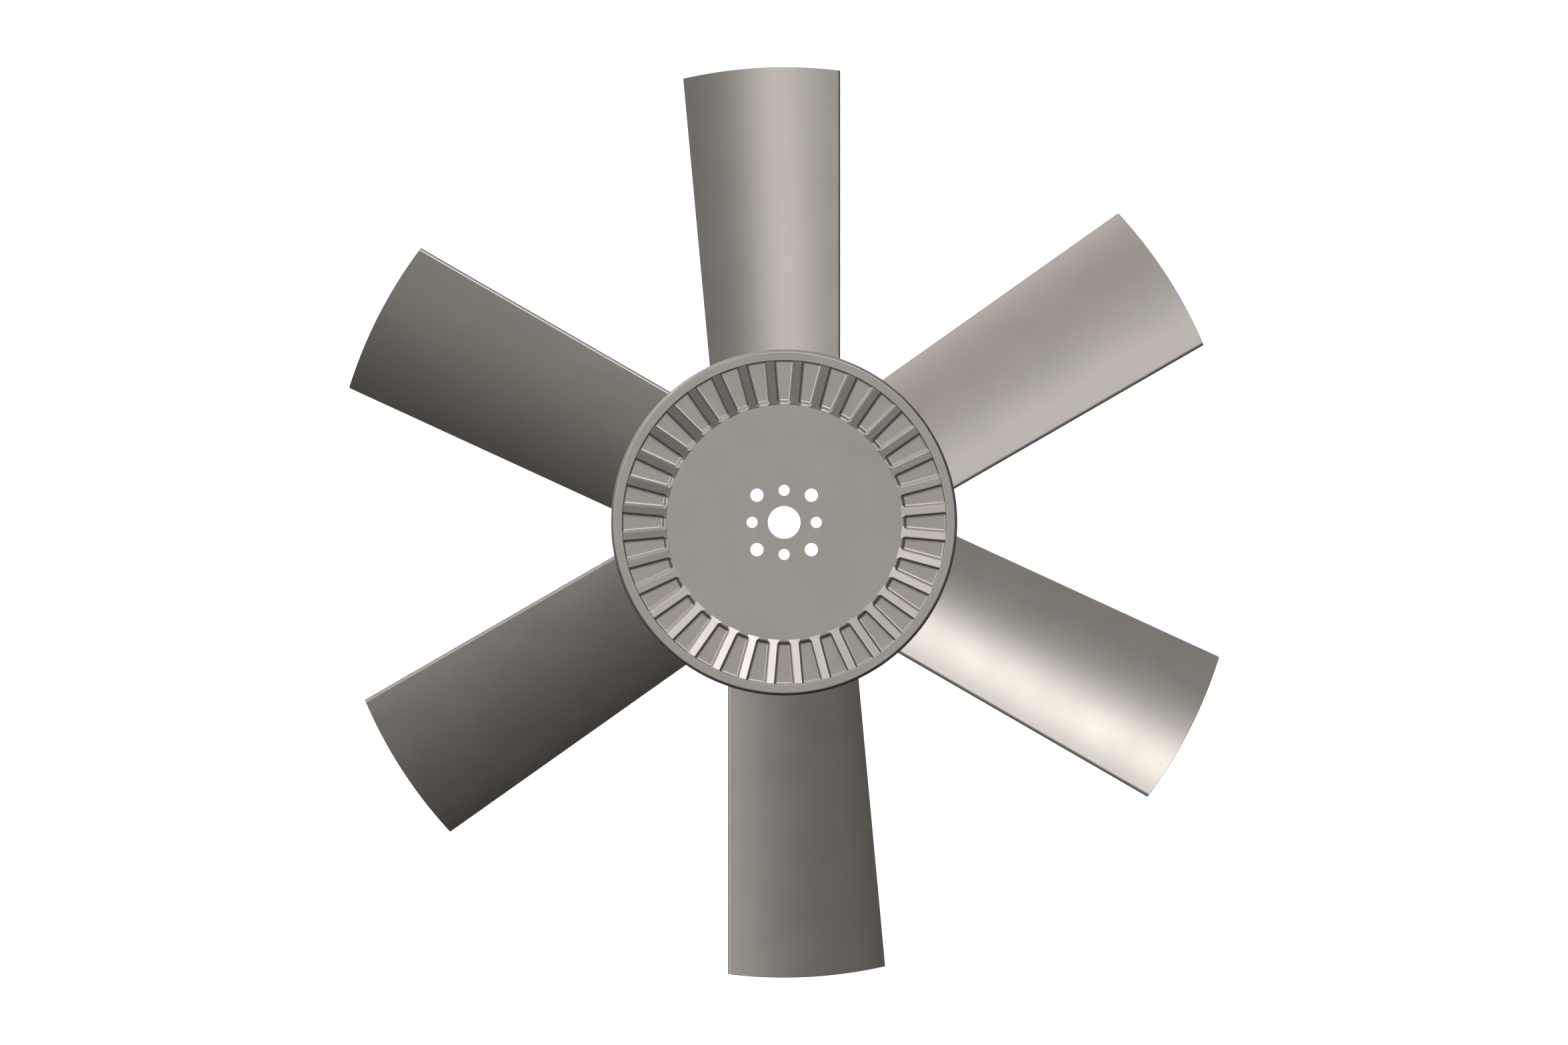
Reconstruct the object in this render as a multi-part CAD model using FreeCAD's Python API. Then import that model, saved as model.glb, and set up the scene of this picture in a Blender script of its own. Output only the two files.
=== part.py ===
# Axial fan impeller, cast in aluminium as one piece and machined on its seats and bore.
#
# The front of the impeller, with the ribbed dish, is up (+Z). The origin lies on the axis,
# level with the back rim of the hub, on which the impeller rests. One blade points along +Y.
# Seen from the front the impeller turns clockwise. Sizes are in millimetres, angles in degrees.

import FreeCAD, Part
import math
import os

from FreeCAD import Vector

# Overall sizes
tip_diameter = 710.0
hub_diameter = 270.0
hub_depth = 75.0

# Front ring, dish and disc of the hub
ring_width = 8.8
ring_outer_edge_radius = 3.0
ring_inner_edge_bevel = 1.1
ring_step = 3.0
disc_diameter = 183.4
disc_recess = 15.0

# Pockets in the dish, and the ribs that are left between them
pocket_count = 36
pocket_inner_diameter = 188.6
pocket_depth = 8.0
pocket_floor_radius = 2.4
rib_width = 7.0

# Back of the hub
floor_thickness = 7.0
drum_wall = 7.0
drum_draft_angle = 2.0
drum_root_bevel = 6.0
rim_edge_bevel = 1.0
boss_diameter = 96.0
boss_height = 5.0

# Bore and bolt holes
bore_diameter = 25.4
small_hole_count = 4
small_hole_diameter = 8.6
small_hole_circle = 50.0
small_hole_angle = 0.0
large_hole_count = 4
large_hole_diameter = 10.2
large_hole_circle = 60.0
large_hole_angle = 45.0

# Blades. A blade is a plate rolled to a cone, whose straight lines run from root to tip.
# It starts flat at the leading edge, and the roll makes it steep at the trailing edge.
blade_count = 6
blade_angle = 30.0
blade_setback = 1.0
blade_thickness = 4.6
leading_edge_offset = 43.75
leading_edge_flat = 0.2
leading_tilt = 8.0
blade_roll_angle = 42.0
cone_half_angle = 8.45
cone_apex_distance = 948.0
trailing_flat_angle = 7.0
trailing_edge_thickness = 2.0
blade_root_depth = 4.0

# How far a cutting tool runs past the face that it cuts
overrun = 5.0

# Radii and levels that follow from the sizes
tip_radius = tip_diameter / 2
hub_radius = hub_diameter / 2
dish_radius = hub_radius - ring_width
disc_radius = disc_diameter / 2
pocket_inner_radius = pocket_inner_diameter / 2
boss_radius = boss_diameter / 2
root_radius = hub_radius - blade_root_depth
disc_level = hub_depth - disc_recess
dish_top_level = hub_depth - ring_step
pocket_level = disc_level - pocket_depth
web_level = pocket_level - floor_thickness
boss_level = web_level - boss_height
blade_top_level = hub_depth - ring_outer_edge_radius - blade_setback
leading_edge_radius = (blade_thickness - leading_edge_flat) / 2
rim_inner_radius = hub_radius - drum_wall
web_outer_radius = rim_inner_radius - web_level * math.tan(math.radians(drum_draft_angle))

origin = Vector(0, 0, 0)
axis = Vector(0, 0, 1)


def polar(radius, angle, level):
    """A point given by its radius, its angle round the axis and its level."""
    turn = math.radians(angle)
    return Vector(radius * math.cos(turn), radius * math.sin(turn), level)


def round_axis(shape, count, first_angle=0.0):
    """Copies of a shape, evenly spaced round the axis."""
    copies = []
    for index in range(count):
        copy = shape.copy()
        copy.rotate(origin, axis, first_angle + index * 360 / count)
        copies.append(copy)
    return copies


def corner_cut(before, corner, after, size, rounded):
    """The edge that takes off a corner: an arc of a radius, or a bevel of a leg."""
    toward_before = (before - corner).normalize()
    toward_after = (after - corner).normalize()
    if not rounded:
        return Part.LineSegment(corner + toward_before * size, corner + toward_after * size)
    half_angle = toward_before.getAngle(toward_after) / 2
    run = size / math.tan(half_angle)
    reach = size / math.sin(half_angle) - size
    inward = (toward_before + toward_after).normalize()
    return Part.Arc(corner + toward_before * run, corner + inward * reach, corner + toward_after * run)


def outline(corners):
    """A closed wire through corners, each a point, the size of its cut and if it is round."""
    cuts = []
    for index, (corner, size, rounded) in enumerate(corners):
        before = corners[index - 1][0]
        after = corners[(index + 1) % len(corners)][0]
        cuts.append(corner_cut(before, corner, after, size, rounded).toShape() if size else None)
    edges = []
    for index, cut in enumerate(cuts):
        following = (index + 1) % len(corners)
        start = cut.Vertexes[-1].Point if cut else corners[index][0]
        end = cuts[following].Vertexes[0].Point if cuts[following] else corners[following][0]
        if cut:
            edges.append(cut)
        edges.append(Part.LineSegment(start, end).toShape())
    return Part.Wire(edges)


def hub_blank():
    """Turn the hub: drum, front ring, dish, disc, web and the boss behind the disc."""
    half_section = outline([
        (Vector(0, 0, disc_level), 0, False),
        (Vector(disc_radius, 0, disc_level), 0, False),
        (Vector(dish_radius, 0, dish_top_level), 0, False),
        (Vector(dish_radius, 0, hub_depth), ring_inner_edge_bevel, False),
        (Vector(hub_radius, 0, hub_depth), ring_outer_edge_radius, True),
        (Vector(hub_radius, 0, 0), rim_edge_bevel, False),
        (Vector(rim_inner_radius, 0, 0), rim_edge_bevel, False),
        (Vector(web_outer_radius, 0, web_level), drum_root_bevel, False),
        (Vector(boss_radius, 0, web_level), 0, False),
        (Vector(boss_radius, 0, boss_level), 0, False),
        (Vector(0, 0, boss_level), 0, False),
    ])
    blank = Part.Face(half_section).revolve(origin, axis, 360)
    # The seam of the turned faces is moved under the middle of a rib
    blank.rotate(origin, axis, 180 / pocket_count)
    return blank


def rib_side_angle(radius):
    """The angle from the middle of a pocket to the side of the next rib, at a radius."""
    return 180 / pocket_count - math.degrees(math.asin(rib_width / 2 / radius))


def pocket_tool():
    """The tool that sinks one pocket. Parallel-sided ribs stay between its copies."""
    inner_angle = rib_side_angle(pocket_inner_radius)
    outer_angle = rib_side_angle(dish_radius)
    inner_left = polar(pocket_inner_radius, inner_angle, pocket_level)
    inner_right = polar(pocket_inner_radius, -inner_angle, pocket_level)
    outer_left = polar(dish_radius, outer_angle, pocket_level)
    outer_right = polar(dish_radius, -outer_angle, pocket_level)
    outer_middle = polar(dish_radius, 0, pocket_level)
    floor = Part.Wire([
        Part.LineSegment(inner_right, outer_right).toShape(),
        Part.Arc(outer_right, outer_middle, outer_left).toShape(),
        Part.LineSegment(outer_left, inner_left).toShape(),
        Part.LineSegment(inner_left, inner_right).toShape(),
    ])
    height = hub_depth - ring_inner_edge_bevel - pocket_level
    tool = Part.Face(floor).extrude(axis * height)
    # The foot of the ring stays square, so the edge at the outer end is left out
    middle_radius = (pocket_inner_radius + dish_radius) / 2
    foot = [edge for edge in tool.Edges
            if edge.BoundBox.ZMax < disc_level and edge.BoundBox.XMin < middle_radius]
    return tool.makeFillet(pocket_floor_radius, foot)


def drill(diameter, count=1, circle=0.0, first_angle=0.0):
    """The drills for a bore on the axis, or for a circle of bolt holes."""
    start = Vector(circle / 2, 0, boss_level - overrun)
    length = disc_level - boss_level + 2 * overrun
    hole = Part.makeCylinder(diameter / 2, length, start, axis)
    return round_axis(hole, count, first_angle)


def hub():
    """The turned hub with its pockets, bore and bolt holes."""
    tools = round_axis(pocket_tool(), pocket_count)
    tools += drill(bore_diameter)
    tools += drill(small_hole_diameter, small_hole_count, small_hole_circle, small_hole_angle)
    tools += drill(large_hole_diameter, large_hole_count, large_hole_circle, large_hole_angle)
    return hub_blank().cut(tools).removeSplitter()


def sheet(corner, first_side, second_side):
    """A flat face with four corners, from one of them and its two sides."""
    second = corner + first_side
    third = second + second_side
    fourth = corner + second_side
    return Part.Face(Part.makePolygon([corner, second, third, fourth, corner]))


def bar(corner, first_side, second_side, third_side):
    """A straight bar, from a corner and its three sides."""
    return sheet(corner, first_side, second_side).extrude(third_side)


def blade():
    """The blade along +X, from inside the drum wall to the tip circle.

    Its clockwise side, at negative Y, leads. The front and the back of the plate are cones
    about one line, and the roll turns the plate's leading lines about that line.
    """
    tilt = math.radians(leading_tilt)
    half_angle = math.radians(cone_half_angle)
    along = Vector(1, 0, 0)
    out_of_front = Vector(0, math.sin(tilt), math.cos(tilt))
    toward_trailing = out_of_front.cross(along)
    reach = along * (tip_radius + overrun - root_radius / 2)
    thickness = out_of_front * blade_thickness
    nose_width = toward_trailing * (blade_thickness / 2)
    nose_middle = Vector(root_radius / 2, -leading_edge_offset, blade_top_level - blade_thickness / 2)
    nose_start = nose_middle - thickness / 2
    back_start = nose_start + nose_width
    front_start = back_start + thickness

    # The nose is a narrow flat strip with round edges, and the rolled plate follows it
    nose = bar(nose_start, reach, nose_width, thickness)
    leading_face = min(nose.Faces, key=lambda face: face.CenterOfMass.y)
    long_edges = [edge for edge in leading_face.Edges if edge.Length > reach.Length / 2]
    nose = nose.makeFillet(leading_edge_radius, long_edges)
    apex = Vector(-cone_apex_distance, front_start.y, front_start.z)
    cone_axis = out_of_front * math.sin(half_angle) - along * math.cos(half_angle)
    plate = sheet(back_start, reach, thickness).revolve(apex, cone_axis, blade_roll_angle)

    def rolled(point, angle):
        return apex + FreeCAD.Rotation(cone_axis, angle).multVec(point - apex)

    # The back is planed flat near the trailing edge, so that the plate thins to its set thickness
    flat_start = rolled(back_start, blade_roll_angle - trailing_flat_angle)
    flat_end = rolled(back_start + reach, blade_roll_angle - trailing_flat_angle)
    line = (flat_end - flat_start).normalize()
    thin_edge = front_start + reach / 2 - out_of_front * trailing_edge_thickness
    across = rolled(thin_edge, blade_roll_angle) - flat_start
    across = (across - line * across.dot(line)).normalize()
    cut_start = flat_start - across * overrun
    cut_depth = across.cross(line) * blade_thickness
    planed = bar(cut_start, flat_end - flat_start, across * tip_radius, cut_depth)

    height = hub_depth + 2 * overrun
    base = Vector(0, 0, -overrun)
    tip_circle = Part.makeCylinder(tip_radius, height, base, axis)
    root_circle = Part.makeCylinder(root_radius, height, base, axis)
    return plate.fuse(nose).cut(planed).common(tip_circle).cut(root_circle)


def impeller():
    """The whole casting."""
    blades = round_axis(blade(), blade_count, blade_angle)
    return hub().fuse(blades).removeSplitter()


os.makedirs("parts", exist_ok=True)
casting = impeller()
print("solids", len(casting.Solids), "valid", casting.isValid(), "faces", len(casting.Faces))
print("volume in cubic centimetres", round(casting.Volume / 1000, 1))
casting.Solids[0].exportStep("parts/impeller.step")
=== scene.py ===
# %% [markdown]
# # A cast aluminium axial fan impeller
#
# The part is one aluminium casting: a hub drum with a ribbed dish in its front, a bored centre
# plate, and six wide curved blades. The frame already holds it as one plain solid, with sharp
# corners. This lesson makes the same casting again with the round edges that a die leaves, and
# gives it its metal. Every piece keeps the place and size that the frame says, in metres.

import math

import bmesh
import bpy
from mathutils import Matrix, Vector
from mathutils.geometry import tessellate_polygon


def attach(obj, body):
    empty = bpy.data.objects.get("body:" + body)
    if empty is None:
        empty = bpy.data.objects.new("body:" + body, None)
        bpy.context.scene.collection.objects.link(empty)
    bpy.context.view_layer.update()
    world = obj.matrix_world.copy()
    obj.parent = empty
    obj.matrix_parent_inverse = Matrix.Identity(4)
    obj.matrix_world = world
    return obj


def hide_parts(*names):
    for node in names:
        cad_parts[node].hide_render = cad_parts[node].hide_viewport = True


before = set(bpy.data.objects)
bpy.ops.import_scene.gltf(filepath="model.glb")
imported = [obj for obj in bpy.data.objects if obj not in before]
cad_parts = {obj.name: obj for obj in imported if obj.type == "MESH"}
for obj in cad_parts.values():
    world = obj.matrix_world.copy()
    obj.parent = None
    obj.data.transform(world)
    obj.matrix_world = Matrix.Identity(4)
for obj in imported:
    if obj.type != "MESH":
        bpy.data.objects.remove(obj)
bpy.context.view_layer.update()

# %% [markdown]
# ## Camera
#
# The photograph looks straight down on the front of the impeller, with no perspective at all:
# the bore shows no wall, and every blade is as long as the next. An orthographic camera over the
# axis does the same. Its scale is the width of the picture in millimetres at the scale that
# makes the tip circle 710 mm across.

# %% Camera
MM = 0.001
picture_width_px = 2352
mm_per_px = 0.51961
picture_middle = (-0.13 * MM, -0.08 * MM)
camera_height = 2.0

camera_data = bpy.data.cameras.new("camera")
camera_data.type = "ORTHO"
camera_data.ortho_scale = picture_width_px * mm_per_px * MM
camera_data.clip_end = 20
camera = bpy.data.objects.new("camera", camera_data)
camera.location = (*picture_middle, camera_height)
bpy.context.scene.collection.objects.link(camera)
bpy.context.scene.camera = camera
print("picture width in metres:", round(camera_data.ortho_scale, 4))

# %% [markdown]
# ## Light
#
# The greys of the dish and the blades tell where the light comes from. The rib tops that face the
# upper right are the brightest, those that face the left come next, and the steep blade edges
# that face the lower right are the darkest. So a high key light stands at the upper right and a
# lower second light at the left, and two faint fills lift the dark sides a little.
#
# The far edges of the upper blades get bright again. That light has to come from behind, past
# the edge of the part. A weak rim light gives them their sheen. The strong grazing light beside
# it adds matt light only, because its mirror image would glitter on upright walls.
#
# The low light and the back light hardly count in this view. They give shape to the drum and the
# back when the part is seen from elsewhere. All the lights are suns, because a flat face is the
# same grey all over, and none casts a shadow, because the picture has none. The world is white
# for the camera only. To the metal it is a dim sky that fades downwards.

# %% Light
sun_width = math.radians(8.0)
lamp_distance = 3.0
sky_bottom, sky_top = -0.6, 0.3
sky_dark, sky_light = 0.0022, 0.020


def sun(name, azimuth, elevation, strength, tint=(1.0, 1.0, 1.0)):
    """A soft sun. Azimuth is counted from +X, seen from the front."""
    data = bpy.data.lights.new(name, "SUN")
    data.energy = strength
    data.color = tint
    data.angle = sun_width
    data.use_shadow = False
    lamp = bpy.data.objects.new(name, data)
    turn, rise = math.radians(azimuth), math.radians(elevation)
    toward = Vector((math.cos(rise) * math.cos(turn), math.cos(rise) * math.sin(turn), math.sin(rise)))
    lamp.rotation_euler = toward.to_track_quat("Z", "Y").to_euler()
    lamp.location = toward * lamp_distance
    bpy.context.scene.collection.objects.link(lamp)
    return lamp


# Name, azimuth and elevation in degrees, strength and tint
sun("key_light", 72.3, 59.0, 1.212)
sun("second_light", 164.3, 43.9, 0.744, (1.0, 0.995, 0.99))
sun("front_fill", 261.5, 46.5, 0.068, (1.0, 0.87, 0.76))
sun("right_fill", 5.9, 10.2, 0.028, (1.0, 0.89, 0.79))
sun("rim_light", 131.0, -14.4, 0.19, (1.0, 0.98, 0.955))
sun("grazing_light", 117.5, -19.1, 6.4, (1.0, 0.92, 0.875)).visible_glossy = False
sun("low_light", 325.0, -60.0, 3.4).visible_glossy = False
sun("back_light", 0.0, -88.0, 0.5)
bpy.context.scene.view_settings.view_transform = "Standard"

world = bpy.data.worlds.new("studio")
world.use_nodes = True
bpy.context.scene.world = world
sky = world.node_tree
sky.nodes.clear()
dim = sky.nodes.new("ShaderNodeBackground")
dim.inputs["Color"].default_value = (1.0, 0.99, 0.97, 1.0)
height = sky.nodes.new("ShaderNodeTexCoord")
split = sky.nodes.new("ShaderNodeSeparateXYZ")
fade = sky.nodes.new("ShaderNodeMapRange")
fade.inputs["From Min"].default_value = sky_bottom
fade.inputs["From Max"].default_value = sky_top
fade.inputs["To Min"].default_value = sky_dark
fade.inputs["To Max"].default_value = sky_light
sky.links.new(height.outputs["Generated"], split.inputs["Vector"])
sky.links.new(split.outputs["Z"], fade.inputs["Value"])
sky.links.new(fade.outputs["Result"], dim.inputs["Strength"])
white = sky.nodes.new("ShaderNodeBackground")
white.inputs["Color"].default_value = (1.0, 1.0, 1.0, 1.0)
white.inputs["Strength"].default_value = 1.0
seen = sky.nodes.new("ShaderNodeLightPath")
either = sky.nodes.new("ShaderNodeMixShader")
out = sky.nodes.new("ShaderNodeOutputWorld")
sky.links.new(seen.outputs["Is Camera Ray"], either.inputs["Fac"])
sky.links.new(dim.outputs["Background"], either.inputs[1])
sky.links.new(white.outputs["Background"], either.inputs[2])
sky.links.new(either.outputs["Shader"], out.inputs["Surface"])

# %% [markdown]
# ## Floor
#
# The background is clean white, also where it shows through the bore and the bolt holes. A large
# plane is that floor. It lies 0.3 mm under the hub's back rim, so that no two faces share a
# place. It shines by itself, so that it stays white, but it doesn't light the metal or show in
# it. It is clear from below, so that the back can be seen.

# %% Floor
def new_mesh_object(name, vertices, faces):
    """A mesh object at the origin, from points in metres."""
    mesh = bpy.data.meshes.new(name)
    mesh.from_pydata([tuple(v) for v in vertices], [], faces)
    made = bpy.data.objects.new(name, mesh)
    bpy.context.scene.collection.objects.link(made)
    return made


floor_material = bpy.data.materials.new("white_floor")
floor_material.use_nodes = True
paint = floor_material.node_tree.nodes["Principled BSDF"]
paint.inputs["Base Color"].default_value = (0.85, 0.85, 0.85, 1.0)
paint.inputs["Roughness"].default_value = 0.9
paint.inputs["Emission Color"].default_value = (1.0, 1.0, 1.0, 1.0)
paint.inputs["Emission Strength"].default_value = 0.9
tree = floor_material.node_tree
side = tree.nodes.new("ShaderNodeNewGeometry")
clear = tree.nodes.new("ShaderNodeBsdfTransparent")
one_sided = tree.nodes.new("ShaderNodeMixShader")
tree.links.new(side.outputs["Backfacing"], one_sided.inputs["Fac"])
tree.links.new(paint.outputs["BSDF"], one_sided.inputs[1])
tree.links.new(clear.outputs["BSDF"], one_sided.inputs[2])
tree.links.new(one_sided.outputs["Shader"], tree.nodes["Material Output"].inputs["Surface"])
half_floor, floor_level = 4.0, -0.3 * MM
floor = new_mesh_object("floor", [(x * half_floor, y * half_floor, floor_level) for x, y in
                                  ((-1, -1), (1, -1), (1, 1), (-1, 1))], [(0, 1, 2, 3)])
floor.data.materials.append(floor_material)
floor.visible_glossy = False
floor.visible_diffuse = False
print("floor side in metres:", 2 * half_floor)

# %% [markdown]
# ## Metal
#
# The casting has one satin grey all over, a little warm. Close up, a die-cast skin isn't quite
# even: it has a fine grain, patches a few centimetres wide that are a shade lighter or darker,
# and a gloss that varies with them. All of this comes from noise on Object coordinates, in
# metres, so that it stays put on the part and has its true size.

# %% Cast aluminium
def add(tree, kind, **settings):
    """A node of a kind, with its plain settings."""
    made = tree.nodes.new(kind)
    for name, value in settings.items():
        setattr(made, name, value)
    return made


def satin_metal(name, roughness, grain_depth, groove_pitch=None):
    """Satin aluminium with a fine grain and, on turned faces, the grooves of the tool."""
    material = bpy.data.materials.new(name)
    material.use_nodes = True
    tree = material.node_tree
    metal = tree.nodes["Principled BSDF"]
    metal.inputs["Metallic"].default_value = 0.7
    where = add(tree, "ShaderNodeTexCoord")

    patches = add(tree, "ShaderNodeTexNoise")
    patches.inputs["Scale"].default_value = 28.0
    patches.inputs["Detail"].default_value = 4.0
    tree.links.new(where.outputs["Object"], patches.inputs["Vector"])
    shade = add(tree, "ShaderNodeMix", data_type="RGBA")
    shade.inputs["A"].default_value = (0.612, 0.572, 0.525, 1.0)
    shade.inputs["B"].default_value = (0.652, 0.610, 0.561, 1.0)
    tree.links.new(patches.outputs["Fac"], shade.inputs["Factor"])
    tree.links.new(shade.outputs["Result"], metal.inputs["Base Color"])

    gloss = add(tree, "ShaderNodeMapRange")
    gloss.inputs["From Min"].default_value = 0.3
    gloss.inputs["From Max"].default_value = 0.7
    gloss.inputs["To Min"].default_value = roughness - 0.015
    gloss.inputs["To Max"].default_value = roughness + 0.015
    tree.links.new(patches.outputs["Fac"], gloss.inputs["Value"])
    tree.links.new(gloss.outputs["Result"], metal.inputs["Roughness"])

    grain = add(tree, "ShaderNodeTexNoise")
    grain.inputs["Scale"].default_value = 1400.0
    grain.inputs["Detail"].default_value = 3.0
    tree.links.new(where.outputs["Object"], grain.inputs["Vector"])
    height = grain.outputs["Fac"]
    if groove_pitch:
        split = add(tree, "ShaderNodeSeparateXYZ")
        flat = add(tree, "ShaderNodeCombineXYZ")
        radius = add(tree, "ShaderNodeVectorMath", operation="LENGTH")
        turns = add(tree, "ShaderNodeMath", operation="MULTIPLY")
        turns.inputs[1].default_value = 2 * math.pi / groove_pitch
        wave = add(tree, "ShaderNodeMath", operation="SINE")
        mixed = add(tree, "ShaderNodeMath", operation="MULTIPLY_ADD")
        mixed.inputs[1].default_value = 0.25
        tree.links.new(where.outputs["Object"], split.inputs["Vector"])
        tree.links.new(split.outputs["X"], flat.inputs["X"])
        tree.links.new(split.outputs["Y"], flat.inputs["Y"])
        tree.links.new(flat.outputs["Vector"], radius.inputs[0])
        tree.links.new(radius.outputs["Value"], turns.inputs[0])
        tree.links.new(turns.outputs["Value"], wave.inputs[0])
        tree.links.new(wave.outputs["Value"], mixed.inputs[0])
        tree.links.new(grain.outputs["Fac"], mixed.inputs[2])
        height = mixed.outputs["Value"]
    bump = add(tree, "ShaderNodeBump")
    bump.inputs["Strength"].default_value = 1.0
    bump.inputs["Distance"].default_value = grain_depth
    tree.links.new(height, bump.inputs["Height"])
    tree.links.new(bump.outputs["Normal"], metal.inputs["Normal"])
    return material


cast_metal = satin_metal("cast_aluminium", roughness=0.48, grain_depth=0.002 * MM)
turned_metal = satin_metal("turned_aluminium", roughness=0.48, grain_depth=0.002 * MM,
                           groove_pitch=0.6 * MM)
print("materials:", cast_metal.name, turned_metal.name)

# %% [markdown]
# ## One bay of the hub
#
# The hub repeats every ten degrees: one rib, with half a pocket on each side. So only one bay is
# modelled, and of that only one half, since the other is its mirror image. The bay runs
# from the edge of the centre plate, over the dish, the ring and the drum, and back under the web.
#
# A pocket is cut by a tool with a round nose. Its wall is vertical, its floor meets the wall in
# a round corner, and its upper edge is rounded over. In mesh terms that is a set of lines that
# all run round the pocket at a fixed distance from the edge of its flat floor. Each line has its
# own height, and faces between the lines make the round corners.

# %% Sizes of the dish, in millimetres
bays = 36
half_bay = math.pi / bays
dish_radius = 126.4
plate_radius = 91.6
plate_level = 60.0
dish_top_level = 71.5
pocket_level = 52.0
dish_slope = (dish_top_level - plate_level) / (dish_radius - plate_radius)

floor_corner = 1.9
floor_edge = 5.4
pocket_foot_radius = 96.2
rib_round = 0.95
pocket_round = 1.85
wall_round = 1.7
rib_wall_round = 0.8
round_steps = 6


def quarter(radius):
    """Steps along a quarter circle that leaves a flat: (distance, height), both from 0 to radius."""
    turns = [math.pi / 2 * index / round_steps for index in range(round_steps + 1)]
    return [(radius * math.sin(turn), radius * (1 - math.cos(turn))) for turn in turns]


def cone_level(radius):
    """The height of the rib tops at a radius."""
    return plate_level + dish_slope * max(0.0, radius - plate_radius)


def wall_rise(radius, slope, size):
    """How far a round corner at the ring's wall lifts a point of a surface with this slope."""
    inside = radius - (dish_radius - size)
    arc = size * math.hypot(1, slope) - math.sqrt(max(0.0, size ** 2 - inside ** 2))
    starts = size * slope / math.hypot(1, slope)
    return arc - slope * inside if inside > starts else 0.0


def polar(radius, angle):
    return Vector((radius * math.cos(angle), radius * math.sin(angle)))


corner = Vector((math.sqrt(pocket_foot_radius ** 2 - floor_edge ** 2), floor_edge))
corner_angle = math.atan2(corner.y, corner.x)
print("slope of the rib tops in degrees:", round(math.degrees(math.atan(dish_slope)), 1))

# %% [markdown]
# The lines round the pocket pass through stations. First come those along the side of the rib,
# from the ring's wall inward, then those round the corner, and then those along the inner end.
# A station gives the plan point at any distance outside the flat floor.

# %% Stations round a pocket
wall_stations = [distance for distance, _ in reversed(quarter(wall_round))]
side_steps, turn_steps, end_steps = 6, 8, 3


def side_point(station, y):
    """A plan point on the line along the rib at this y. Station 0 is at the ring's wall."""
    if station < len(wall_stations):
        radius = dish_radius - wall_round + wall_stations[station]
        return Vector((math.sqrt(radius ** 2 - y ** 2), y))
    start = math.sqrt((dish_radius - wall_round) ** 2 - y ** 2)
    share = (station - len(wall_stations) + 1) / side_steps
    return Vector((start + (corner.x - start) * share, y))


side_count = len(wall_stations) + side_steps
stations = []
for station in range(side_count):
    stations.append(("side", station, 0.0))
for index in range(1, turn_steps + 1):
    stations.append(("turn", index, index / turn_steps))
for index in range(1, end_steps + 1):
    stations.append(("end", index, 1.0))


def station_point(kind, index, distance):
    """The plan point of a station at a distance outside the flat floor."""
    if kind == "side":
        return side_point(index, floor_edge - distance)
    if kind == "turn":
        angle = -math.pi / 2 - (math.pi / 2 - corner_angle) * index / turn_steps
        return corner + distance * Vector((math.cos(angle), math.sin(angle)))
    angle = corner_angle + (half_bay - corner_angle) * index / end_steps
    return polar(pocket_foot_radius - distance, angle)


def top_round(share):
    """The radius of the upper edge: small along a rib, larger at the inner end."""
    smooth = share * share * (3 - 2 * share)
    return rib_round + (pocket_round - rib_round) * smooth


print("stations:", len(stations))

# %% [markdown]
# Now the surface is made strip by strip. Points that fall together at a tip are merged at the
# end, so the code doesn't have to treat them in a special way.

# %% Dish surface of half a bay
vertices, faces = [], []


def point(plan, level):
    vertices.append(Vector((plan.x, plan.y, level)) * MM)
    return len(vertices) - 1


def weave(grid):
    """Faces between neighbouring rows and columns of a grid of points."""
    for first, second in zip(grid, grid[1:]):
        for index in range(len(first) - 1):
            faces.append((first[index], first[index + 1], second[index + 1], second[index]))


def top_level(radius, share):
    """The height of a rib's top, which ends where the pocket's inner end meets the flat plate."""
    return plate_level if share == 1.0 else cone_level(radius)


def half_bay_lines():
    """For each station, the points from the rib's crest or the plate down to the flat floor."""
    lines = []
    for kind, index, share in stations:
        top_radius = top_round(share)
        reach = floor_corner + top_radius
        edge = station_point(kind, index, reach)
        crest_level = top_level(edge.length, share)
        top_rise = wall_rise(edge.length, dish_slope, rib_wall_round) if kind == "side" else 0.0
        floor_rise = wall_rise(edge.length, 0.0, wall_round) if kind == "side" else 0.0
        line = []
        for distance, drop in quarter(top_radius):
            plan = station_point(kind, index, reach - distance)
            line.append((plan, crest_level + top_rise - drop))
        for distance, rise in reversed(quarter(floor_corner)):
            plan = station_point(kind, index, distance)
            line.append((plan, pocket_level + floor_rise + rise))
        lines.append(line)
    return lines


lines = half_bay_lines()
line_points = [[point(plan, level) for plan, level in line] for line in lines]
weave(line_points)
print("points on a line:", len(line_points[0]), "lines:", len(line_points))

# %% [markdown]
# The rib's top lies between the outermost line and the rib's crest. Past the corner of the
# pocket it flares out to two pointed tips on the edge of the centre plate. Between the tips of
# two ribs the plate goes on a little further, up to the round edge of the pocket. The flat floor
# lies between the innermost line and the middle of the pocket.

# %% Rib top and pocket floor of half a bay
crest_steps = 2
pocket_edge_radius = pocket_foot_radius - floor_corner - pocket_round
plate_edge = [(plate_radius, 0.0)]


def crest_target(kind, index):
    """The plan point on the crest, or on the edge of the plate, that a station looks at."""
    if kind == "side":
        return side_point(index, 0.0)
    half = turn_steps // 2
    if index <= half:
        return Vector((corner.x + (plate_radius - corner.x) * index / half, 0.0))
    angle = corner_angle * math.sqrt((index - half) / (turn_steps - half))
    radius = pocket_edge_radius if index == turn_steps else plate_radius
    plate_edge.append((radius, angle))
    return polar(radius, angle)


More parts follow.
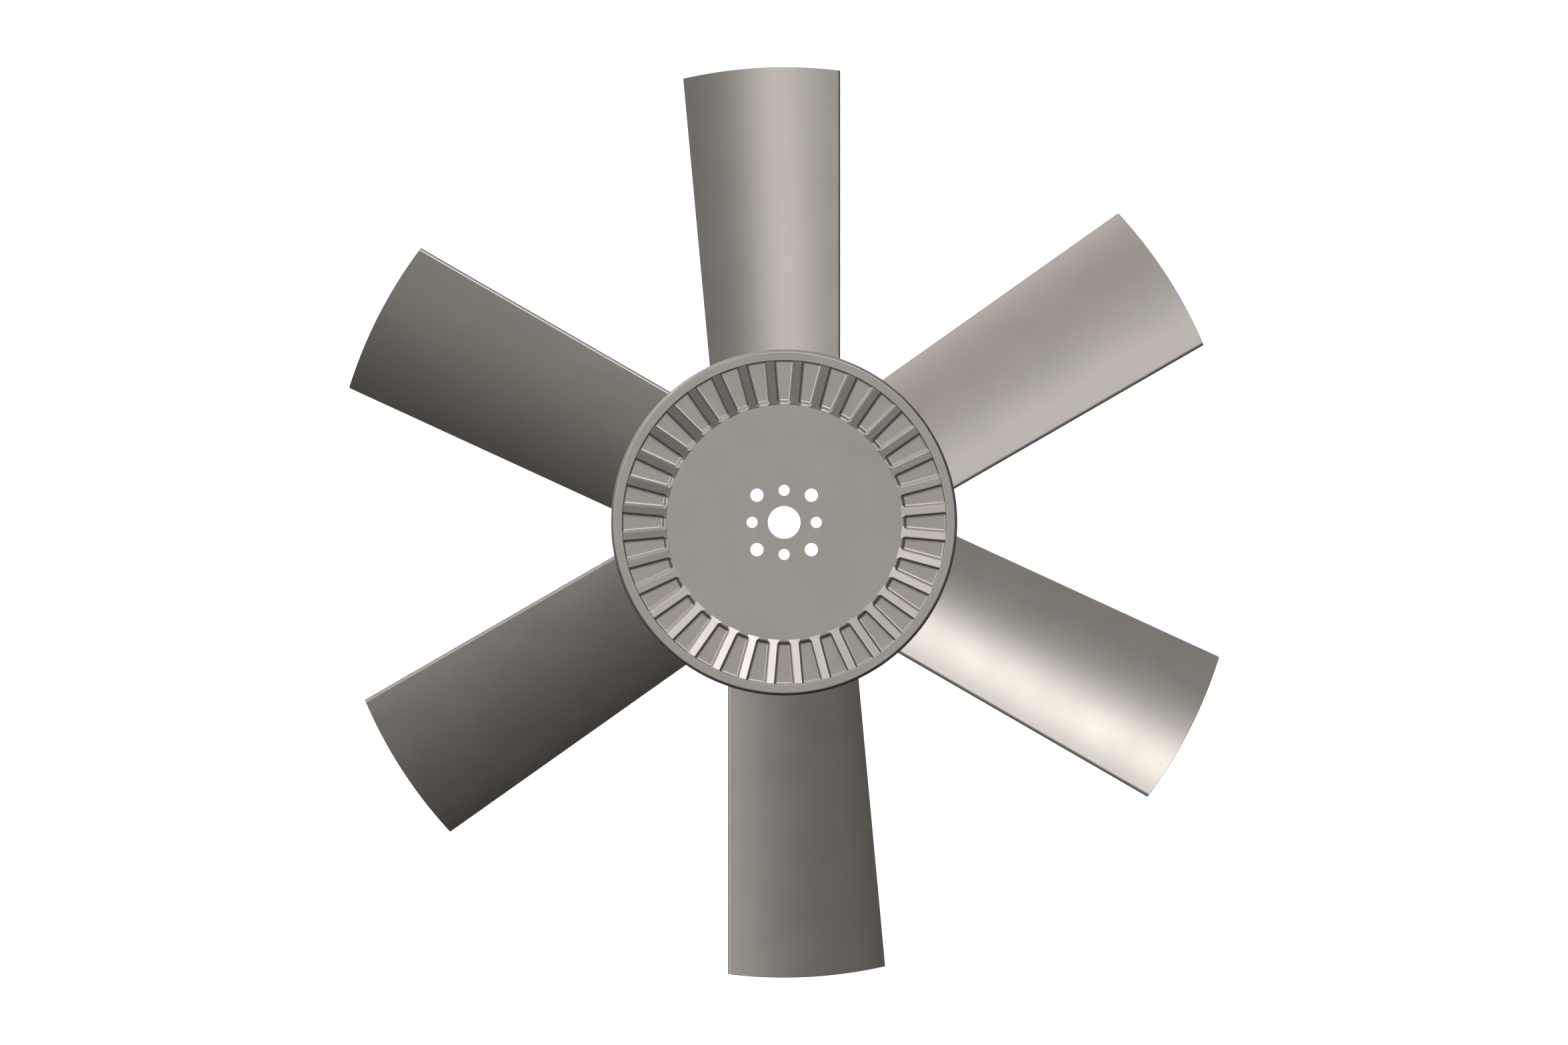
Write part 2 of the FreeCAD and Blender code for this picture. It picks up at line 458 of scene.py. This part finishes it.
top_grid = []
for (kind, index, share), line, row in zip(stations, lines, line_points):
    if kind == "end":
        continue
    edge = line[0][0]
    target = crest_target(kind, index)
    columns = [row[0]]
    for step in range(1, crest_steps + 1):
        plan = edge.lerp(target, step / crest_steps)
        if kind == "side":
            plan = side_point(index, edge.y * (1 - step / crest_steps))
        rise = wall_rise(plan.length, dish_slope, rib_wall_round) if kind == "side" else 0.0
        columns.append(point(plan, top_level(plan.length, share) + rise))
    top_grid.append(columns[::-1])
weave(top_grid)
for index in range(1, end_steps + 1):
    angle = corner_angle + (half_bay - corner_angle) * index / end_steps
    plate_edge.append((pocket_edge_radius, angle))

floor_grid = []
for line, row in zip(lines[:side_count], line_points):
    start = line[-1][0]
    angle = math.atan2(start.y, start.x)
    columns = [row[-1]]
    for step in range(1, end_steps + 1):
        plan = polar(start.length, angle + (half_bay - angle) * step / end_steps)
        columns.append(point(plan, pocket_level + wall_rise(plan.length, 0.0, wall_round)))
    floor_grid.append(columns)
weave(floor_grid)
print("edge of the plate:", [(round(r, 2), round(math.degrees(a), 2)) for r, a in plate_edge])

# %% [markdown]
# The ring and the drum are a turned shape: one outline that goes round the axis. The outline is
# written as corners with a radius each, and a radius of 0 leaves a plain point. The first corner
# only says in which direction the outline starts. The ring's outer edge is a steep slope with
# round ends, which shows as the narrow dark rim of the picture.
#
# The wall of the dish stands between the outline's first point and the ends of all the lines of
# the dish.

# %% Outline of the ring, drum and web
def rounded(corners):
    """Points of an outline through corners (radius, level, round), the ends left as they are."""
    path = [Vector(corners[0][:2])]
    for before, here, after in zip(corners, corners[1:], corners[2:]):
        middle, size = Vector(here[:2]), here[2]
        one = (Vector(before[:2]) - middle).normalized()
        two = (Vector(after[:2]) - middle).normalized()
        if size == 0:
            path.append(middle)
            continue
        half = one.angle(two) / 2
        centre = middle + (one + two).normalized() * size / math.sin(half)
        start = middle + one * size / math.tan(half) - centre
        finish = middle + two * size / math.tan(half) - centre
        sweep = start.angle(finish)
        for index in range(round_steps + 1):
            share = index / round_steps
            path.append(centre + (start * math.sin((1 - share) * sweep)
                                  + finish * math.sin(share * sweep)) / math.sin(sweep))
    path.append(Vector(corners[-1][:2]))
    return path


hub_radius = 135.0
hub_depth = 75.0
rim_inner_radius = 128.0
rim_round = 1.0
web_level = 45.0
web_root_round = 6.0
boss_radius = 48.0
boss_level = 40.0
boss_face_radius = boss_radius - 3.0
boss_foot_round, boss_edge_round = 2.0, 1.0
draft = math.tan(math.radians(2.0))
web_outer_radius = rim_inner_radius - web_level * draft

ring_inner_round = 0.3
bevel_width, bevel_depth = 1.9, 3.1
bevel_top_round, bevel_foot_round = 0.9, 1.2
start_drop = 1.1
# Plain points that only keep the faces of the drum and the web from getting long and thin
drum_levels = (50.0, 25.0)
drum_inner_level = 22.0
web_middle_radius = 84.0

ring_corners = [
    (dish_radius, hub_depth - start_drop, 0),
    (dish_radius, hub_depth, ring_inner_round),
    (hub_radius - bevel_width, hub_depth, bevel_top_round),
    (hub_radius, hub_depth - bevel_depth, bevel_foot_round),
    (hub_radius, drum_levels[0], 0),
    (hub_radius, drum_levels[1], 0),
    (hub_radius, 0.0, rim_round),
    (rim_inner_radius, 0.0, rim_round),
    (web_outer_radius + (web_level - drum_inner_level) * draft, drum_inner_level, 0),
    (web_outer_radius, web_level, web_root_round),
    (web_middle_radius, web_level, 0),
    (boss_radius, web_level, boss_foot_round),
    (boss_radius, boss_level, boss_edge_round),
    (boss_face_radius, boss_level, 0),
]
outline = rounded(ring_corners)[1:]
print("outline points:", len(outline))

# %% Ring, drum and web of half a bay
end_line = top_grid[0][:-1] + line_points[0] + floor_grid[0][1:]
end_angles = [math.atan2(vertices[i].y, vertices[i].x) for i in end_line]
crest_end = crest_steps
wall_top = crest_end + round_steps
wall_foot = wall_top + 1
foot_end = wall_foot + round_steps
coarse = [0, crest_end, wall_top, foot_end, len(end_line) - 1]
turned_angles = [end_angles[i] for i in coarse]
turned_grid = []
for angle in turned_angles:
    turned_grid.append([point(polar(place.x, angle), place.y) for place in outline])
weave(turned_grid)
for column, (low, high) in enumerate(zip(coarse, coarse[1:])):
    if low == wall_top:
        low_points = [end_line[wall_top]] + end_line[wall_foot:high + 1]
    else:
        low_points = end_line[low:high + 1]
    faces.append(tuple(low_points) + (turned_grid[column + 1][0], turned_grid[column][0]))
print("turned columns:", len(turned_grid), "points in half a bay:", len(vertices))

# %% [markdown]
# The half bay is mirrored, and the two halves become one mesh whose doubled points are merged.

# %% Whole bay
merge_distance = 0.002 * MM
seam_distance = 0.005 * MM


def clean_mesh(made):
    """Merges doubled points and turns the faces of the mesh outwards."""
    work = bmesh.new()
    work.from_mesh(made.data)
    bmesh.ops.remove_doubles(work, verts=work.verts, dist=merge_distance)
    bmesh.ops.dissolve_degenerate(work, edges=work.edges, dist=merge_distance)
    bmesh.ops.recalc_face_normals(work, faces=work.faces)
    work.to_mesh(made.data)
    work.free()
    made.data.update()


count = len(vertices)
mirrored = [Vector((v.x, -v.y, v.z)) for v in vertices]
mirrored_faces = [tuple(i + count for i in reversed(face)) for face in faces]
bay = new_mesh_object("hub_bay", vertices + mirrored, faces + mirrored_faces)
clean_mesh(bay)
print("faces in a bay:", len(bay.data.polygons))

# %% [markdown]
# ## Geometry Nodes: copies round the axis
#
# Bays and blades both repeat round the bore. One node tree does this for any mesh: a line of
# points at the origin, one copy on each point, and a turn that grows with the point's index. The
# copies are then made real, neighbours are merged where they touch, and the metal is set. The
# inputs have names, so the same tree makes 36 bays or six blades.

# %% Tree that repeats a mesh round the axis
def input_socket(tree, name, kind):
    return tree.interface.new_socket(name=name, in_out="INPUT", socket_type=kind)


def round_axis_tree():
    tree = bpy.data.node_groups.new("copies_round_axis", "GeometryNodeTree")
    input_socket(tree, "Geometry", "NodeSocketGeometry")
    input_socket(tree, "Copies", "NodeSocketInt")
    input_socket(tree, "First Angle", "NodeSocketFloat")
    input_socket(tree, "Metal", "NodeSocketMaterial")
    tree.interface.new_socket(name="Geometry", in_out="OUTPUT", socket_type="NodeSocketGeometry")
    source = add(tree, "NodeGroupInput")
    line = add(tree, "GeometryNodeMeshLine")
    line.inputs["Offset"].default_value = (0, 0, 0)
    index = add(tree, "GeometryNodeInputIndex")
    step = add(tree, "ShaderNodeMath", operation="DIVIDE")
    step.inputs[0].default_value = 2 * math.pi
    turn = add(tree, "ShaderNodeMath", operation="MULTIPLY_ADD")
    rotation = add(tree, "ShaderNodeCombineXYZ")
    copies = add(tree, "GeometryNodeInstanceOnPoints")
    real = add(tree, "GeometryNodeRealizeInstances")
    merge = add(tree, "GeometryNodeMergeByDistance")
    merge.inputs["Distance"].default_value = seam_distance
    metal = add(tree, "GeometryNodeSetMaterial")
    result = add(tree, "NodeGroupOutput")
    link = tree.links.new
    link(source.outputs["Copies"], line.inputs["Count"])
    link(source.outputs["Copies"], step.inputs[1])
    link(index.outputs["Index"], turn.inputs[0])
    link(step.outputs["Value"], turn.inputs[1])
    link(source.outputs["First Angle"], turn.inputs[2])
    link(turn.outputs["Value"], rotation.inputs["Z"])
    link(line.outputs["Mesh"], copies.inputs["Points"])
    link(source.outputs["Geometry"], copies.inputs["Instance"])
    link(rotation.outputs["Vector"], copies.inputs["Rotation"])
    link(copies.outputs["Instances"], real.inputs["Geometry"])
    link(real.outputs["Geometry"], merge.inputs["Geometry"])
    link(merge.outputs["Geometry"], metal.inputs["Geometry"])
    link(source.outputs["Metal"], metal.inputs["Material"])
    link(metal.outputs["Geometry"], result.inputs["Geometry"])
    return tree


def use_tree(made, tree, **values):
    """Adds the tree as a modifier, with each input set by its socket's identifier."""
    modifier = made.modifiers.new(tree.name, "NODES")
    modifier.node_group = tree
    for item in tree.interface.items_tree:
        key = item.name.replace(" ", "_").lower()
        if item.in_out == "INPUT" and key in values:
            modifier[item.identifier] = values[key]
    return modifier


def finished_mesh(made):
    """The plain mesh that the modifiers give. The modifiers and the object are then removed."""
    bpy.context.view_layer.update()
    ready = made.evaluated_get(bpy.context.evaluated_depsgraph_get())
    mesh = bpy.data.meshes.new_from_object(ready)
    made.modifiers.clear()
    bpy.data.objects.remove(made)
    return mesh


round_axis = round_axis_tree()
use_tree(bay, round_axis, copies=bays, first_angle=half_bay, metal=cast_metal)
hub_mesh = finished_mesh(bay)
print("faces in the hub:", len(hub_mesh.polygons))

# %% [markdown]
# ## Centre plate
#
# The plate in the middle has a bore and eight bolt holes, four on each of two circles. A flat
# face with holes is filled in one go between its outer circle and the circles of the holes. The
# front and the back use the same holes, and walls join the two.

# %% Centre plate with its holes
bore_radius, bore_sides, hole_sides = 12.7, 96, 48
holes = [(0.0, 0.0, bore_radius, bore_sides)]
# For each bolt circle its radius, the angle of the first hole and the radius of a hole
bolt_circles = ((25.0, 0, 4.3), (30.0, 45, 5.1))
for turn in range(4):
    for circle_radius, first_angle, hole_radius in bolt_circles:
        x, y = circle_radius * polar(1, math.radians(first_angle + 90 * turn))
        holes.append((x, y, hole_radius, hole_sides))


def circle(x, y, radius, count):
    return [Vector((x, y)) + polar(radius, 2 * math.pi * i / count) for i in range(count)]


def round_loop(half_edge):
    """A loop that repeats the edge of half a bay, given as (radius, angle), so that it fits."""
    loop = []
    for number in range(bays):
        middle = half_bay + 2 * half_bay * number
        for radius, angle in [(r, -a) for r, a in reversed(half_edge[1:])] + half_edge[:-1]:
            loop.append(polar(radius, middle + angle))
    return loop


plate_points, plate_faces = [], []


def pierced_face(loop, level):
    """A flat face inside a loop, less the holes. Gives the first point of each hole's circle."""
    rings = [loop] + [circle(*hole) for hole in holes]
    start = len(plate_points)
    firsts = []
    for ring in rings:
        firsts.append(len(plate_points))
        plate_points.extend(Vector((p.x, p.y, level)) * MM for p in ring)
    for triangle in tessellate_polygon([[Vector((p.x, p.y, 0)) for p in ring] for ring in rings]):
        plate_faces.append(tuple(start + i for i in triangle))
    return firsts[1:]


front = pierced_face(round_loop(plate_edge), plate_level)
back = pierced_face(round_loop([(boss_face_radius, a) for a in turned_angles]), boss_level)
for hole, upper, lower in zip(holes, front, back):
    for i in range(hole[3]):
        j = (i + 1) % hole[3]
        plate_faces.append((upper + i, upper + j, lower + j, lower + i))
plate = new_mesh_object("centre_plate", plate_points, plate_faces)
plate_mesh = finished_mesh(plate)
print("faces in the plate:", len(plate_mesh.polygons))

# %% [markdown]
# ## Blades
#
# A blade is a plate of even thickness that is rolled to part of a cone, so that straight lines
# run from root to tip. Seen from the front, its leading edge is straight and its far edge too.
# The plate starts nearly flat at the leading edge and gets steep towards the other one.
#
# So the blank is made flat first, as a maker would cut it, and a node tree rolls it. Its X runs
# along the straight lines, its Y across them and its Z through the plate. Every line has to end
# on the tip circle once it is rolled, so its length is found by trying.

# %% Sizes of a blade, in millimetres
blade_thickness = 4.6
leading_offset = 43.75
blade_top_level = 71.0
tilt = math.radians(8.0)
roll_angle = math.radians(42.0)
cone_half_angle = math.radians(8.45)
apex_distance = 948.0
flat_angle = math.radians(7.0)
trailing_thickness = 2.0
nose_round = 2.2
tip_radius = 355.0
root_radius = 131.0
roll_radius = 170.0
edge_break = 0.3
blades = 6
blade_angle = math.radians(30)

along = Vector((1, 0, 0))
out_of_front = Vector((0, math.sin(tilt), math.cos(tilt)))
toward_trailing = out_of_front.cross(along)
nose = Vector((0, -leading_offset, blade_top_level - blade_thickness / 2))
back_line = nose - out_of_front * blade_thickness / 2 + toward_trailing * blade_thickness / 2
front_line = back_line + out_of_front * blade_thickness
apex = Vector((-apex_distance, front_line.y, front_line.z))
roll_axis = out_of_front * math.sin(cone_half_angle) - along * math.cos(cone_half_angle)


def rolled(x, y, z):
    """Where a point of the flat blank comes to lie, in millimetres."""
    flat = back_line + along * x + toward_trailing * min(y, 0.0) + out_of_front * z
    turn = Matrix.Rotation(max(y, 0.0) / roll_radius, 3, roll_axis)
    return apex + turn @ (flat - apex)


longest_blank = 500.0
halvings = 40


def line_end(radius, y, z):
    """How far along X a line of the blank reaches a radius, once it is rolled."""
    low, high = 0.0, longest_blank
    for _ in range(halvings):
        middle = (low + high) / 2
        place = rolled(middle, y, z)
        if math.hypot(place.x, place.y) < radius:
            low = middle
        else:
            high = middle
    return (low + high) / 2


far_edge = roll_radius * roll_angle
tip_corner = rolled(line_end(tip_radius, far_edge, blade_thickness), far_edge, blade_thickness)
print("level of the far edge at the tip:", round(tip_corner.z, 1))

# %% Flat blank of a blade
length_steps, roll_steps, flat_steps, nose_steps = 6, 20, 5, 12
plane_curve = 0.49


def back_height(angle):
    """The height of the blank's back. Near the far edge it is planed, so that the plate thins."""
    share = max(0.0, (angle - roll_angle + flat_angle) / flat_angle)
    return (blade_thickness - trailing_thickness) * (plane_curve * share ** 2 + (1 - plane_curve) * share)


def blank_section(inset):
    """The blank's outline across, from the far edge over the front, the nose and the back."""
    reach = far_edge - inset
    flat_start = roll_radius * (roll_angle - flat_angle)
    across = [flat_start + (reach - flat_start) * i / flat_steps for i in range(flat_steps, 0, -1)]
    across += [flat_start * i / roll_steps for i in range(roll_steps, -1, -1)]
    upper = [(y, blade_thickness - inset) for y in across]
    lower = [(y, back_height(y / roll_radius) + inset) for y in across]
    half = blade_thickness / 2
    nose_line = []
    for i in range(nose_steps + 1):
        angle = math.pi / 2 + math.pi * i / nose_steps
        side = half - nose_round if i <= nose_steps // 2 else nose_round - half
        nose_line.append((-half + nose_round + (nose_round - inset) * math.cos(angle),
                          half + side + (nose_round - inset) * math.sin(angle)))
    return upper, nose_line, lower[::-1]


straight_length = tip_radius - edge_break - root_radius
spans = [(root_radius + straight_length * i / length_steps, 0.0) for i in range(length_steps + 1)]
spans.append((tip_radius, edge_break))
blank_points, blank_faces, loops = [], [], []
for radius, inset in spans:
    upper, nose_line, lower = blank_section(inset)
    loop = []
    for y, z in upper + nose_line + lower:
        blank_points.append(Vector((line_end(radius, y, z), y, z)) * MM)
        loop.append(len(blank_points) - 1)
    loops.append(loop)
for first, second in zip(loops, loops[1:]):
    for i in range(len(first)):
        j = (i + 1) % len(first)
        blank_faces.append((first[i], first[j], second[j], second[i]))
for loop in (loops[0][::-1], loops[-1]):
    last = len(loop) - 1
    for i in range(last // 2):
        blank_faces.append((loop[i], loop[i + 1], loop[last - i - 1], loop[last - i]))
blank = new_mesh_object("blade_blank", blank_points, blank_faces)
clean_mesh(blank)
print("blank size in mm:", [round(v / MM, 1) for v in blank.dimensions])

# %% [markdown]
# The rolling tree moves each point of the blank. It lifts the flat point into its place beside
# the axis and turns it about the cone's axis, by an angle that grows with the blank's Y. This is
# one Vector Rotate node, with the cone's apex as its centre.

# %% Tree that rolls a blank to a cone
def rolling_tree():
    tree = bpy.data.node_groups.new("roll_to_cone", "GeometryNodeTree")
    input_socket(tree, "Geometry", "NodeSocketGeometry")
    for name in ("Start", "Across", "Through", "Cone Apex", "Cone Axis"):
        input_socket(tree, name, "NodeSocketVector")
    input_socket(tree, "Roll Radius", "NodeSocketFloat")
    tree.interface.new_socket(name="Geometry", in_out="OUTPUT", socket_type="NodeSocketGeometry")
    link = tree.links.new
    source = add(tree, "NodeGroupInput")
    here = add(tree, "GeometryNodeInputPosition")
    parts = add(tree, "ShaderNodeSeparateXYZ")
    link(here.outputs["Position"], parts.inputs["Vector"])
    before = add(tree, "ShaderNodeMath", operation="MINIMUM")
    after = add(tree, "ShaderNodeMath", operation="MAXIMUM")
    angle = add(tree, "ShaderNodeMath", operation="DIVIDE")
    for half in (before, after):
        half.inputs[1].default_value = 0.0
        link(parts.outputs["Y"], half.inputs[0])
    link(after.outputs["Value"], angle.inputs[0])
    link(source.outputs["Roll Radius"], angle.inputs[1])
    run = add(tree, "ShaderNodeCombineXYZ")
    link(parts.outputs["X"], run.inputs["X"])
    total = source.outputs["Start"]
    for scale, vector in ((before.outputs["Value"], source.outputs["Across"]),
                          (parts.outputs["Z"], source.outputs["Through"])):
        step = add(tree, "ShaderNodeVectorMath", operation="SCALE")
        link(vector, step.inputs["Vector"])
        link(scale, step.inputs["Scale"])
        plus = add(tree, "ShaderNodeVectorMath", operation="ADD")
        link(total, plus.inputs[0])
        link(step.outputs["Vector"], plus.inputs[1])
        total = plus.outputs["Vector"]
    place = add(tree, "ShaderNodeVectorMath", operation="ADD")
    link(total, place.inputs[0])
    link(run.outputs["Vector"], place.inputs[1])
    roll = add(tree, "ShaderNodeVectorRotate", rotation_type="AXIS_ANGLE")
    link(place.outputs["Vector"], roll.inputs["Vector"])
    link(source.outputs["Cone Apex"], roll.inputs["Center"])
    link(source.outputs["Cone Axis"], roll.inputs["Axis"])
    link(angle.outputs["Value"], roll.inputs["Angle"])
    move = add(tree, "GeometryNodeSetPosition")
    result = add(tree, "NodeGroupOutput")
    link(source.outputs["Geometry"], move.inputs["Geometry"])
    link(roll.outputs["Vector"], move.inputs["Position"])
    link(move.outputs["Geometry"], result.inputs["Geometry"])
    return tree


use_tree(blank, rolling_tree(), start=back_line * MM, across=toward_trailing, through=out_of_front,
         cone_apex=apex * MM, cone_axis=roll_axis, roll_radius=roll_radius * MM)
use_tree(blank, round_axis, copies=blades, first_angle=blade_angle, metal=cast_metal)
blade_mesh = finished_mesh(blank)
print("faces in the blades:", len(blade_mesh.polygons))

# %% [markdown]
# ## One casting
#
# The hub, the plate and the blades are joined, because the real part is one piece. The blade
# roots end inside the drum's wall, where nothing shows. The centre plate and the flat top of the
# ring are turned, so they get the metal with grooves. Edges that turn by more than 17 degrees
# stay sharp, and the rest shade smooth. A weighted normal keeps the flat faces flat beside the
# round edges.

# %% Join the pieces and set the finishes
cast, turned = 0, 1
level_tolerance = 0.01
sharp_angle = math.radians(17)
casting = new_mesh_object("impeller_casting", [], [])
casting.data.materials.append(cast_metal)
casting.data.materials.append(turned_metal)
work = bmesh.new()
for mesh, finish in ((hub_mesh, cast), (plate_mesh, turned), (blade_mesh, cast)):
    known = len(work.faces)
    work.from_mesh(mesh)
    work.faces.ensure_lookup_table()
    for face in work.faces[known:]:
        face.material_index = finish
        middle = face.calc_center_median() / MM
        if finish == cast and abs(middle.z - hub_depth) < level_tolerance:
            face.material_index = turned
bmesh.ops.remove_doubles(work, verts=work.verts, dist=seam_distance)
bmesh.ops.recalc_face_normals(work, faces=work.faces)
open_edges = sum(1 for edge in work.edges if not edge.is_manifold)
work.to_mesh(casting.data)
work.free()
casting.data.shade_smooth()
casting.data.set_sharp_from_angle(angle=sharp_angle)
normals = casting.modifiers.new("flat_faces_stay_flat", "WEIGHTED_NORMAL")
normals.keep_sharp = True
triangles = sum(len(face.vertices) - 2 for face in casting.data.polygons)
print("triangles:", triangles, "open edges:", open_edges)

# %% [markdown]
# ## Hand the piece over
#
# The picture shows no light that goes from one face of the part to another, so the part is left
# out of the light that bounces. It takes the place of the frame's plain solid and rides on the one
# body.

# %% Replace the solid and finish
casting.visible_diffuse = False
casting.visible_glossy = False
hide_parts("impeller")
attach(casting, "root")
